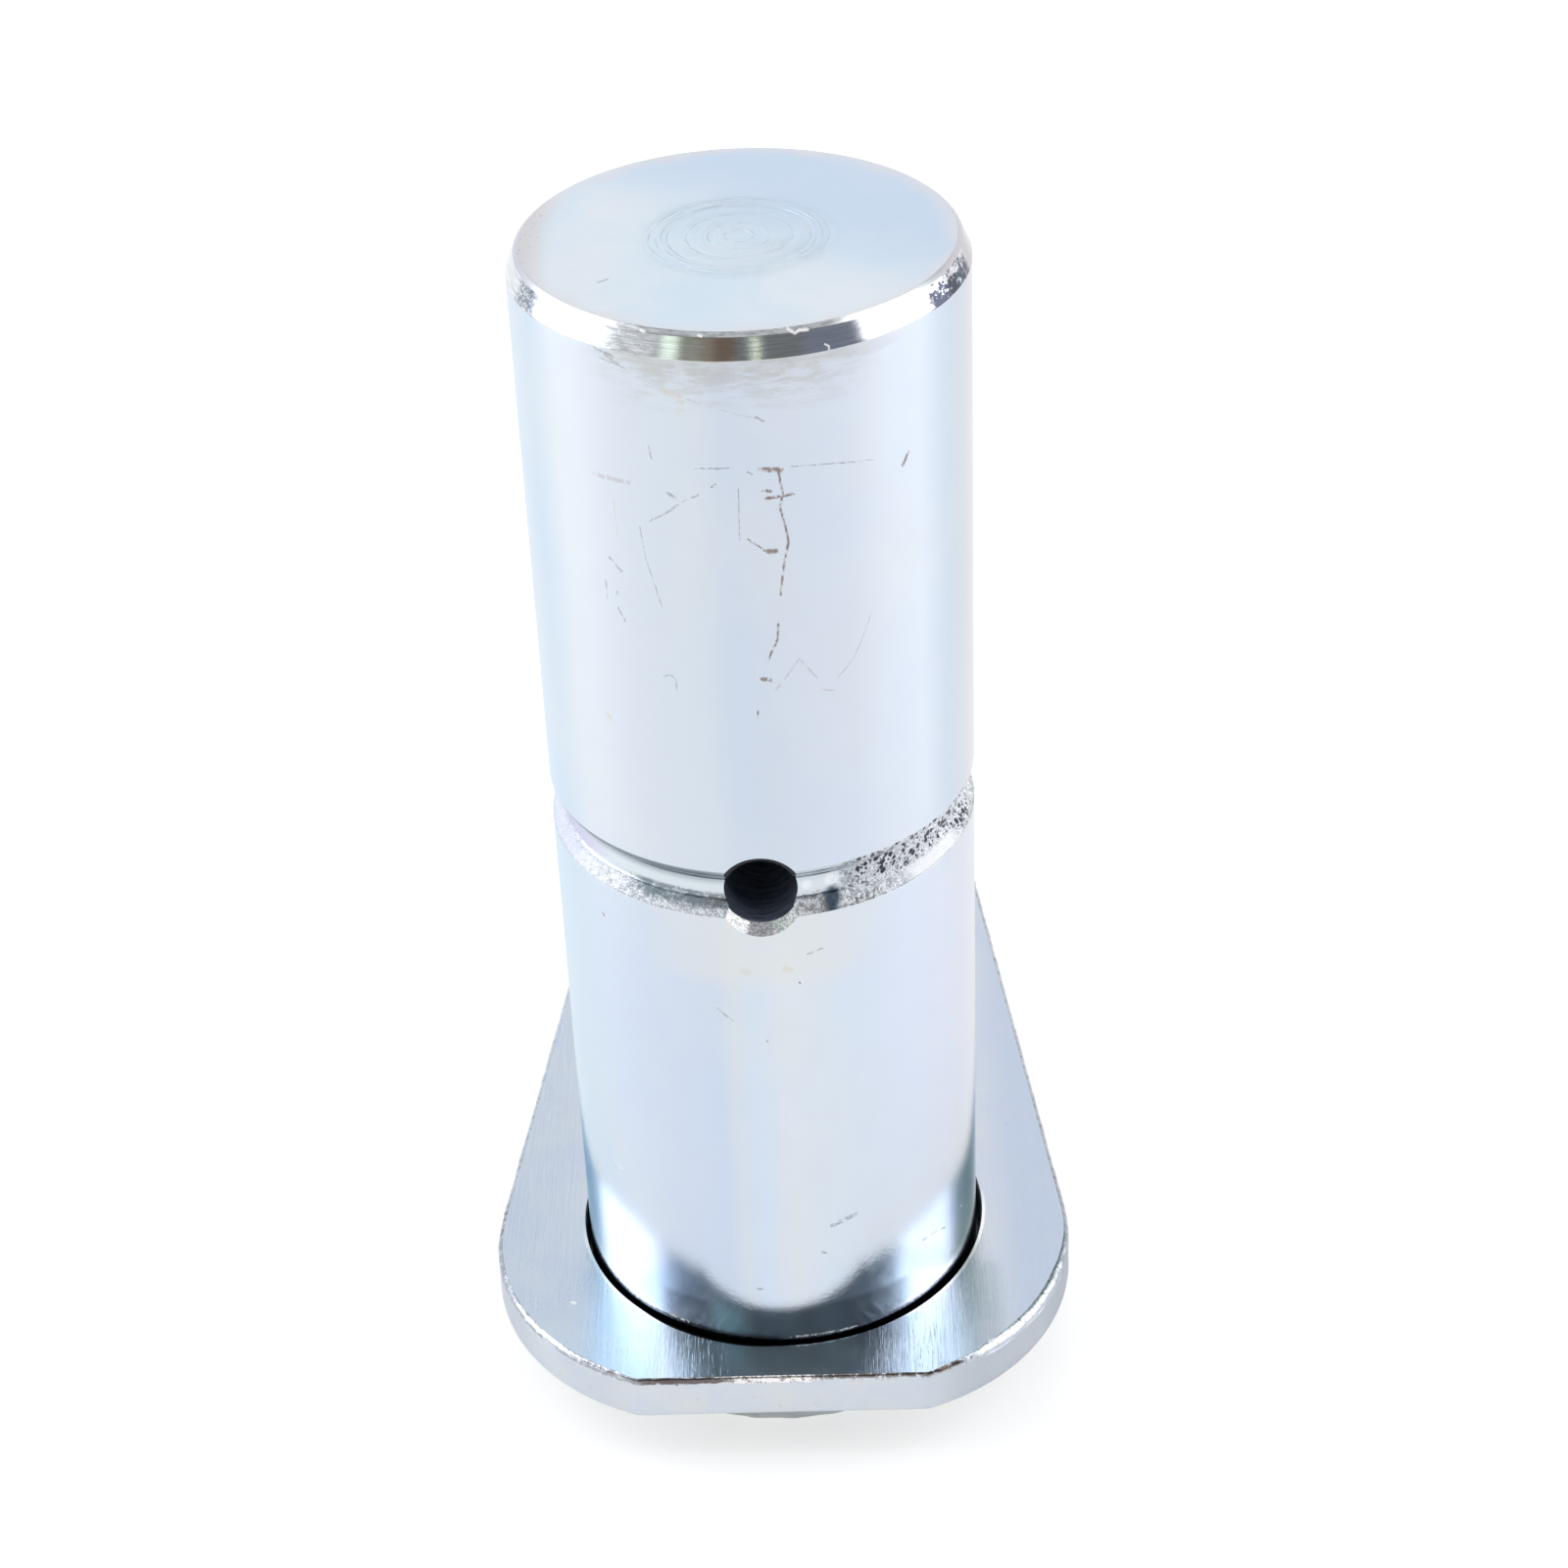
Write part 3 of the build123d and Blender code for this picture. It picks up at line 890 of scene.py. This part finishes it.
def plateTopFinish():
    f = Finish("groundPlateZinc")
    f.turned()
    lines = f.grain(1.0, 4, 0.7, stretch=(7, 0.12, 1))
    broad = f.grain(1.0, 3, 0.6, stretch=(1.6, 0.06, 1))
    cloud = f.grain(8, 4, 0.55, 0.4)
    f.colour = f.mix(f.smooth(cloud, 0.3, 0.7), (0.62, 0.67, 0.79), (0.67, 0.71, 0.78))
    f.paint(f.smooth(lines, 0.42, 0.62) * 0.09, (0.88, 0.90, 0.93))
    # painted reflections on the plate round the pin's front: bluish white in front, paler blue at the right,
    # blue-grey at the left, grey further right
    frontReflection = f.window(f.x, -10, 8, 6) * f.smooth(f.y, -14, -20)
    f.paint(frontReflection * 0.75, (0.74, 0.94, 1.0))
    sheen = f.window(f.x, 10, 19, 4) * f.smooth(f.y, -12, -17)
    f.paint(sheen * 0.8, (0.57, 0.70, 0.80))
    mirrored = f.window(f.x, -18, -11.5, 3) * f.smooth(f.y, -8, -13)
    f.paint(mirrored * 0.6, (0.48, 0.64, 0.78))
    greyer = f.window(f.x, 17.5, 21, 2) * f.smooth(f.y, -7, -10)
    f.paint(greyer * 0.55, (0.42, 0.51, 0.57))
    cooler = f.smooth(f.x, 19, 24)
    f.paint(cooler * 0.8, (0.53, 0.61, 0.77))
    pink = f.smooth(f.grain(5, 3), 0.5, 0.75)
    f.paint(pink * 0.18, (0.72, 0.66, 0.74))
    speck = f.smooth(f.grain(0.45, 2), 0.74, 0.8)
    f.paint(speck * 0.5, (0.35, 0.32, 0.33))
    # a painted highlight along the burr round the pin's hole, at its sides
    hole = plateSizes["pinHole"]
    fromHole = f.fromAxis(plateSizes["pinHoleShift"])
    nicks = f.grain(0.4, 3, 0.7)
    onRim = f.smooth(fromHole + nicks * 0.3, hole + 0.66, hole + 0.54)
    sides = f.sector(38, 92, 12) + f.sector(-80, -30, 14) * 0.6
    f.paint(onRim * sides, (1.0, 1.0, 1.0))
    # painted shade: a black ring round the pin's hole, wider at the left front, so the gap looks wider there
    gapShadeWidth = f.sector(-40, -2, 22) * 0.32
    f.paint(f.smooth(fromHole - gapShadeWidth, hole + 0.12, hole), (0.02, 0.02, 0.02))
    dot = strokes(f, f.scaled(f.place, (1, 1, 0)), plateMarks)
    f.paint(dot, (1.0, 1.0, 1.0))
    scores = f.smooth(f.grain(1.0, 2, 0.6, stretch=(7.5, 0.3, 1)), 0.58, 0.66)
    scores = scores * f.smooth(f.y, -10, -15) * (f.window(f.x, -11, -5.5, 3) + f.window(f.x, 8.5, 15, 2.5))
    rough = 0.15 + f.smooth(cloud, 0.35, 0.65) * 0.04 + lines * 0.08 + dot * 0.4
    rough = rough + f.smooth(f.y, 4, -14) * f.smooth(f.x, -8, -15) * 0.08
    return f.finish(rough, lines * 0.5 + broad * 0.4 + scores * 0.4, 0.03, 1 - dot - frontReflection * 0.05)


def plateEdgeFinish():
    f = Finish("cutEdgeZinc")
    f.turned()
    cloud = f.grain(4.5, 4, 0.55)
    f.colour = f.mix(f.smooth(cloud, 0.3, 0.7), (0.68, 0.74, 0.82), (0.74, 0.77, 0.80))
    # painted shade: the edge is darker towards both ends, most at the right
    f.paint(f.smooth(f.x, -22, -26.5) * 0.5, (0.50, 0.54, 0.62))
    edgeEndShade = f.smooth(f.x, 12, 19) * 0.6 + f.smooth(f.x, 24, 28) * 0.4 + f.smooth(f.x, -12, -17) * 0.2
    f.paint(edgeEndShade, (0.44, 0.48, 0.54))
    ragged = f.grain(0.42, 4, 0.75)
    rim = f.smooth(f.z, -0.8, -0.35)
    torn = f.smooth(ragged, 0.50, 0.60) * rim
    f.paint(torn * 0.6, (0.24, 0.19, 0.18))
    nibbled = f.sector(-88, -22, 6) * f.smooth(f.z, -0.7, -0.45) * f.smooth(ragged, 0.42, 0.48)
    f.paint(nibbled * 0.85, (0.36, 0.37, 0.41))
    # the sheared lip of the front flat: brown at its left, a pale burr, then brown specks
    lip = f.smooth(f.y, -22.6, -23.1) * f.smooth(f.z + ragged * 0.3, -0.85, -0.6)
    crumbs = f.grain(0.6, 4, 0.75, stretch=(0.5, 1, 1.4))
    brownLine = f.window(f.x, -13.4, -4.6, 2.4) * f.window(f.z + crumbs * 1.2, -0.02, 0.62, 0.2)
    f.paint(brownLine * lip * 0.9, (0.13, 0.095, 0.09))
    burr = f.window(f.x, -4.6, 3.2, 2.2) * lip * f.smooth(f.z + crumbs * 0.7, -0.45, -0.3)
    f.paint(burr, f.mix(f.smooth(ragged, 0.50, 0.58), (1.0, 0.97, 0.98), (0.40, 0.33, 0.32)))
    specks = f.window(f.x, 3, 16.5, 1) * f.smooth(f.z, -0.5, -0.2) * f.smooth(ragged, 0.38, 0.48)
    f.paint(specks * 0.85, (0.15, 0.11, 0.10))
    chips = f.smooth(f.z, -4.1, -4.5) * f.sector(42, 62, 10) * f.smooth(ragged, 0.50, 0.56)
    f.paint(chips * 0.8, (0.20, 0.20, 0.23))
    oldRust = f.sector(-93, -84, 3) * f.smooth(f.z, -1.4, -0.4) * f.smooth(ragged, 0.44, 0.52)
    f.paint(oldRust * 0.8, (0.22, 0.17, 0.15))
    stain = f.smooth(f.grain(1.1, 3, 0.6), 0.64, 0.75)
    f.paint(stain * 0.3, (0.45, 0.43, 0.42))
    height = f.grain(0.7, 4, 0.7, stretch=(1, 1, 0.4))
    rough = 0.42 - rim * 0.22
    return f.finish(rough, height, 0.045)


def holeRimFinish():
    f = Finish("holeRimZinc")
    nicks = f.grain(0.6, 4, 0.75)
    f.colour = f.mix(f.smooth(nicks, 0.45, 0.6), (0.82, 0.85, 0.86), (0.42, 0.40, 0.38))
    return f.finish(0.16 + nicks * 0.15, nicks, 0.05)


def boltHoleFinish():
    # drilled, so it is scored round and round
    f = Finish("boltHoleZinc")
    score = f.grain(1.0, 4, 0.7, stretch=(0.15, 0.15, 5))
    f.colour = f.mix(f.smooth(score, 0.4, 0.6), (0.52, 0.56, 0.62), (0.30, 0.32, 0.35))
    return f.finish(0.3 + score * 0.15, score, 0.05)


def plateBackFinish():
    f = Finish("plateBackZinc")
    cloud = f.grain(7, 4, 0.55, 0.3)
    f.colour = f.mix(f.smooth(cloud, 0.3, 0.7), (0.58, 0.63, 0.72), (0.66, 0.68, 0.70))
    heat = f.fromAxis()
    straw = f.window(heat + f.grain(3, 3) * 2, 23, 26.5, 2)
    f.paint(straw * 0.35, (0.58, 0.50, 0.40))
    scale = f.grain(0.9, 4, 0.65)
    return f.finish(0.34 + cloud * 0.12, scale, 0.03)


def tornRim(point, depth):
    # how far the top edge is torn back at this place
    rough = 0.5 + 0.5 * wobble(point.x, point.y, 0, 0.8, 2.2)
    rough *= 0.5 + 0.5 * wobble(point.x, point.y, 0, 3.5, 6.0)
    return depth * rough * 2


def rimWear(point, s):
    # how wide the rim's round is here: sharp along the flat, rubbed wider at the right front corner
    degrees = math.degrees(math.atan2(point.x, -point.y))
    rubbed = fade(degrees, *s["wornStart"]) * fade(degrees, *s["wornEnd"])
    return 1 + (s["wornRound"] - 1) * rubbed + (s["flatRound"] - 1) * fade(point.y, *s["flatFade"])


def edgeRows(s):
    # (how far in from the outline, height) down the plate's edge
    bend, back = s["edgeRound"], -s["thickness"]
    rows = []
    for i in range(s["rimSteps"] + 1):
        angle = math.pi / 2 * i / s["rimSteps"]
        rows.append((bend * (1 - math.sin(angle)), -bend * (1 - math.cos(angle))))
    rows += [(0, z) for z in heights(-0.9, back + 0.9, s["rowStep"])]
    for i in range(s["backSteps"] + 1):
        angle = math.pi / 2 * i / s["backSteps"]
        rows.append((bend * (1 - math.cos(angle)), back + bend * (1 - math.sin(angle))))
    return rows


def drillRows(s, radius, inner):
    ease, back = s["holeEase"], -s["thickness"]
    return [
        (nearAxis, cutPast, "rim"),
        (radius + ease + cutPast, cutPast, "rim"),
        (radius, -ease, inner),
        (radius, back + ease, "rim"),
        (radius + ease + cutPast, back - cutPast, "rim"),
        (nearAxis, back - cutPast, "rim"),
    ]


def makePlate(s):
    finishes = {
        "top": plateTopFinish(),
        "edge": plateEdgeFinish(),
        "back": plateBackFinish(),
        "rim": holeRimFinish(),
        "bore": boreFinish(),
        "boltHole": boltHoleFinish(),
    }
    outline = plateOutline(s)
    rows = edgeRows(s)
    points = []
    for inset, z in rows:
        for place, out in outline:
            back = tornRim(place, s["burr"]) * fade(z, *s["burrFade"]) if z < -0.001 else 0.0
            side = 0.04 * (1 + wobble(place.x, place.y, z, 1.6, 4.0)) if -4.2 < z < -0.5 else 0.0
            wear = rimWear(place, s) if z > -0.6 else 1
            spot = place - out * (s["inset"] + inset * wear + back + side)
            points.append((spot.x, spot.y, z * wear))
    faces = ringFaces(len(rows), len(outline))
    faceFinishes = ["edge"] * (len(faces) - 2) + ["top", "back"]
    plate = makeObject("flagPlate", points, faces, finishes, faceFinishes)
    holes = [(s["pinHole"], s["pinHoleShift"], 0, "bore"), (s["boltHole"], 0, s["tail"], "boltHole")]
    for radius, x, y, inner in holes:
        drill = lathe("plateDrill", drillRows(s, radius, inner), s["drillTurns"], finishes)
        drill.data.transform(Matrix.Translation((x * mm, y * mm, 0)))
        cutAway(plate, drill)
    creaseSharpEdges(plate, s["crease"])
    keepFlats = plate.modifiers.new("keepFlats", "WEIGHTED_NORMAL")
    keepFlats.keep_sharp = True
    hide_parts("flag_plate")
    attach(plate, "root")
    print("plate made:", len(plate.data.polygons), "faces")


weldSizes = {
    "root": 19.05,
    "plateLeg": 4.2,
    "pinLeg": 5.0,
    "bulge": 0.6,
    "ripples": 34,  # freezes of the weld pool, all the way round
    "rippleDepth": 0.35,
    "crease": 50,
    "turns": 340,
    "rows": 14,
}


def weldFinish():
    f = Finish("weldZinc")
    f.turned()
    cloud = f.grain(3.5, 4, 0.6)
    f.colour = f.mix(f.smooth(cloud, 0.3, 0.7), (0.32, 0.38, 0.40), (0.44, 0.48, 0.48))
    soot = f.smooth(f.grain(2.4, 5, 0.65, stretch=(1, 1, 1.6)), 0.46, 0.62)
    f.paint(soot * 0.45, (0.13, 0.15, 0.15))
    spatter = f.smooth(f.grain(0.5, 2, 0.6), 0.66, 0.72)
    f.paint(spatter * 0.5, (0.10, 0.10, 0.11))
    height = f.grain(0.8, 4, 0.6)
    return f.finish(0.26 + cloud * 0.12, height, 0.03)


def makeWeld(s):
    back = -plateSizes["thickness"]
    toe = Vector((s["root"] + s["plateLeg"], back))
    pinToe = Vector((s["root"], back - s["pinLeg"]))
    across = pinToe - toe
    out = Vector((-across.y, across.x)).normalized()
    points, faces = [], []
    for turn in range(s["turns"]):
        angle = 2 * math.pi * turn / s["turns"]
        wander = 0.5 + 0.5 * wobble(math.sin(angle) * 20, math.cos(angle) * 20, 0, 6, 1.7)
        beat = angle * s["ripples"] / (2 * math.pi) + wander * 0.8
        for row in range(s["rows"] + 1):
            share = row / s["rows"]
            swell = 4 * share * (1 - share)
            # each freeze is a crescent that trails at the toes
            phase = (beat - 0.55 * swell) % 1.0
            ripple = (1 - phase) ** 2 * 0.6 + max(0.0, phase - 0.9) * 4
            shrink = s["rippleDepth"] * swell * (0.35 * wander + 0.65 * (1 - ripple))
            spot = toe.lerp(pinToe, share) + out * (s["bulge"] * swell - shrink)
            spot.x = max(spot.x, s["root"])
            points.append((spot.x * math.sin(angle), -spot.x * math.cos(angle), min(spot.y, back)))
        points.append((s["root"] * math.sin(angle), -s["root"] * math.cos(angle), back))
    ring = s["rows"] + 2
    for turn in range(s["turns"]):
        here, ahead = turn * ring, (turn + 1) % s["turns"] * ring
        for row in range(ring):
            after = (row + 1) % ring
            faces.append((here + row, here + after, ahead + after, ahead + row))
    weld = makeObject("filletWeld", points, faces, {"weld": weldFinish()}, ["weld"] * len(faces))
    creaseSharpEdges(weld, s["crease"])
    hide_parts("weld_bead")
    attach(weld, "root")
    print("weld made:", len(weld.data.polygons), "faces")


studio = {
    "cameraGlow": 0.62,  # the floor's own light, as the camera sees it
    "mirrorGlow": 0.47,  # and as the metal sees it
    "floorColour": (0.52, 0.52, 0.52),
    "floorReach": 3000,
}
# what stands round the table: angles in degrees, azimuth 0 at the front and height above the table
studioLights = {
    "frontLow": {"azimuth": (-42, 62), "height": (-30, 33), "soft": 7, "colour": (0.225, 0.24, 0.275)},
    "frontLeft": {"azimuth": (-78, -42), "height": (-30, 33), "soft": 10, "colour": (0.88, 0.90, 0.92)},
    "leftFade": {"azimuth": (-84, -63), "height": (-30, 33), "soft": 12, "colour": (1.7, 1.75, 1.8)},
    "leftGlint": {"azimuth": (-38.5, -29), "height": (-20, 33), "soft": 4, "colour": (1.15, 1.3, 1.15)},
    "oliveWall": {"azimuth": (-29, -12), "height": (-20, 33), "soft": 4, "colour": (0.38, 0.38, 0.36)},
    "brownDoor": {"azimuth": (-12, -2), "height": (-20, 33), "soft": 3, "colour": (0.25, 0.21, 0.18)},
    "rightGlint": {"azimuth": (6.5, 9.5), "height": (-20, 33), "soft": 2, "colour": (1.5, 1.65, 1.45)},
    "frontHigh": {"azimuth": (-70, 62), "height": (33, 59), "soft": 8, "colour": (0.02, 0.03, 0.04)},
    "leftGap": {"azimuth": (-168, -137), "height": (31, 54), "soft": 8, "colour": (0.34, 0.56, 0.68)},
    "rightGap": {"azimuth": (118, 162), "height": (31, 54), "soft": 8, "colour": (0.17, 0.29, 0.25)},
    "leftBox": {"azimuth": (-130, -79), "height": (-4, 58), "soft": 6, "colour": (3.0, 3.0, 3.1)},
    "rightBox": {"azimuth": (62, 118), "height": (-4, 58), "soft": 6, "colour": (2.45, 2.45, 2.5)},
    "leftCorner": {"azimuth": (-160, -113), "height": (-10, 29), "soft": 13, "colour": (0.95, 1.0, 1.08)},
    "rightShade": {"azimuth": (50, 71.7), "height": (33, 64), "soft": 7, "colour": (0.02, 0.03, 0.04)},
}


def makeFloor(s):
    reach, z = s["floorReach"], pinSizes["head"]
    points = [(-reach, -reach, z), (reach, -reach, z), (reach, reach, z), (-reach, reach, z)]
    f = Finish("paleFloor")
    rays = f.add("ShaderNodeLightPath", output="Is Camera Ray")
    mirrored = f.other(rays, "Is Glossy Ray").math("MAXIMUM", f.other(rays, "Is Transmission Ray"))
    glow = rays * s["cameraGlow"] + mirrored * s["mirrorGlow"]
    paper = f.add("ShaderNodeBsdfPrincipled", values={
        "Base Color": (*s["floorColour"], 1),
        "Roughness": 0.42,
        "Emission Color": (1, 1, 1, 1),
        "Emission Strength": glow,
    })
    below = f.add("ShaderNodeNewGeometry", output="Backfacing")
    clear = f.add("ShaderNodeBsdfTransparent")
    both = f.add("ShaderNodeMixShader", values={0: below, 1: paper, 2: clear})
    f.add("ShaderNodeOutputMaterial", values={"Surface": both})
    f.material.cycles.emission_sampling = "NONE"
    floor = makeObject("floor", points, [(0, 1, 2, 3)], {"paper": f.material}, ["paper"])


def makeWorld(s):
    world = bpy.data.worlds.new("studioWorld")
    world.use_nodes = True
    bpy.context.scene.world = world
    n = NodeSet(world.node_tree)
    way = n.add("ShaderNodeTexCoord", output="Generated")
    parts = n.add("ShaderNodeSeparateXYZ", values={0: way})
    azimuth = parts.math("ARCTAN2", n.other(parts, "Y") * -1) * math.degrees(1)
    height = n.other(parts, "Z").math("ARCSINE") * math.degrees(1)
    light = (1, 1, 1)
    for patch in s.values():
        across = n.window(azimuth, *patch["azimuth"], patch["soft"])
        upwards = n.window(height, *patch["height"], patch["soft"])
        light = n.mix(across * upwards, light, patch["colour"])
    rays = n.add("ShaderNodeLightPath", output="Is Camera Ray")
    light = n.mix(rays, light, (1, 1, 1))
    glow = n.add("ShaderNodeBackground", values={"Color": light, "Strength": 1.0})
    n.add("ShaderNodeOutputWorld", values={"Surface": glow})


camera = {
    "lens": 74.553,
    "sensor": 36.0,
    "place": (8.546, -243.832, 213.057),
    "turn": (56.262, 2.021, 0.215),
}


def makeCamera(s):
    data = bpy.data.cameras.new("camera")
    data.lens = s["lens"]
    data.sensor_width = s["sensor"]
    data.clip_start = 0.01
    data.clip_end = 20
    obj = bpy.data.objects.new("camera", data)
    obj.location = Vector(s["place"]) * mm
    obj.rotation_euler = [math.radians(a) for a in s["turn"]]
    bpy.context.scene.collection.objects.link(obj)
    bpy.context.scene.camera = obj


makePin(pinSizes)
makePlate(plateSizes)
makeWeld(weldSizes)
makeFloor(studio)
makeWorld(studioLights)
makeCamera(camera)
bpy.context.scene.view_settings.view_transform = "Standard"
